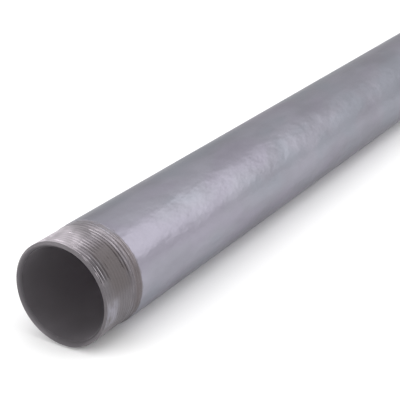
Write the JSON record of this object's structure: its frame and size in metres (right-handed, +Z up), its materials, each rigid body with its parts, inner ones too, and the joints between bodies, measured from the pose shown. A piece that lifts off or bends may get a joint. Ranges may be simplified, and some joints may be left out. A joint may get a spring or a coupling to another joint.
{
  "type": "galvanized steel conduit",
  "caption": "Straight rigid steel conduit, hot-dip galvanized, with a plain round bore and a tapered pipe thread, chamfer and reamed edge on each end.",
  "frame": {"origin": "on the floor, under the middle of the conduit's length", "axes": "+X along the conduit, from its near end in the picture to its far end; +Z up"},
  "size_m": [3.01, 0.0886, 0.0889],
  "materials": {
    "galvanized_steel": "hot-dip galvanized, dull and smooth, with bare cut threads"
  },
  "bodies": {
    "root": {"conduit": "galvanized_steel"}
  },
  "joints": []
}
